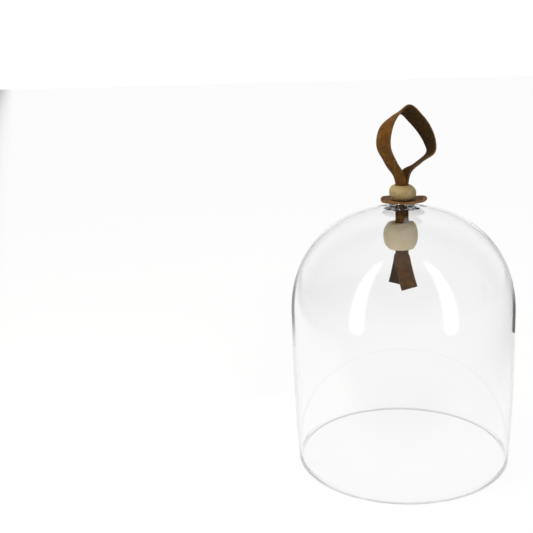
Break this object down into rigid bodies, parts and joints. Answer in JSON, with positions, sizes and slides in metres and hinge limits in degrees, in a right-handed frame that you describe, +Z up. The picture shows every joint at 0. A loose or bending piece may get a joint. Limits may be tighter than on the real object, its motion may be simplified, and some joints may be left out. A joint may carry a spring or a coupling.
{
  "type": "glass cloche",
  "caption": "Clear glass bell with a domed crown and open rim, carried by a leather loop through wooden beads and a leather washer at its neck.",
  "frame": {"origin": "centre of the circle that the glass rim stands on", "axes": "+Z up along the bell's axis, through its neck; -Y towards the front, where the loop's near side and the front tail face"},
  "size_m": [0.22, 0.22, 0.3542],
  "materials": {
    "clear_glass": "clear blown soda-lime glass, fire polished",
    "pale_wood": "unvarnished pale turned wood",
    "strap_leather": "waxed brown leather, suede on its inner face",
    "washer_leather": "brown leather with a bare cut edge"
  },
  "bodies": {
    "bell": {"glass_bell": "clear_glass"},
    "washer": {"leather_washer": "washer_leather"},
    "strap": {"strap_front_half": "strap_leather", "strap_back_half": "strap_leather"},
    "upper_bead": {"upper_bead": "pale_wood"},
    "lower_bead": {"lower_bead": "pale_wood"},
    "loop": {"strap_loop": "strap_leather"},
    "front_tail": {"strap_front_tail": "strap_leather"},
    "back_tail": {"strap_back_tail": "strap_leather"}
  },
  "joints": [
    {"name": "handle_swivel", "type": "hinge", "parent": "bell", "child": "washer", "pos_m": [0, 0, 0.2623], "axis": [0, 0, 1], "continuous": true},
    {"name": "handle_lift", "type": "slide", "parent": "washer", "child": "strap", "axis": [0, 0, 1], "range_m": [0, 0.0112]},
    {"name": "upper_bead_turn", "type": "hinge", "parent": "strap", "child": "upper_bead", "pos_m": [0, 0, 0.2718], "axis": [0, 0, 1], "continuous": true},
    {"name": "lower_bead_slide", "type": "slide", "parent": "strap", "child": "lower_bead", "axis": [0, 0, 1], "range_m": [-0.005, 0]},
    {"name": "loop_tilt", "type": "hinge", "parent": "strap", "child": "loop", "pos_m": [0, 0, 0.2803], "axis": [0.788, -0.6157, 0], "range_deg": [-40, 40], "stiffness_Nm_per_rad": 0.06},
    {"name": "front_tail_swing", "type": "hinge", "parent": "strap", "child": "front_tail", "pos_m": [-0.00075, -0.00534, 0.2168], "axis": [-0.9903, 0.1392, 0], "range_deg": [0, 60], "stiffness_Nm_per_rad": 0.02},
    {"name": "back_tail_swing", "type": "hinge", "parent": "strap", "child": "back_tail", "pos_m": [0.00075, 0.00534, 0.2168], "axis": [0.9903, -0.1392, 0], "range_deg": [0, 60], "stiffness_Nm_per_rad": 0.02}
  ]
}
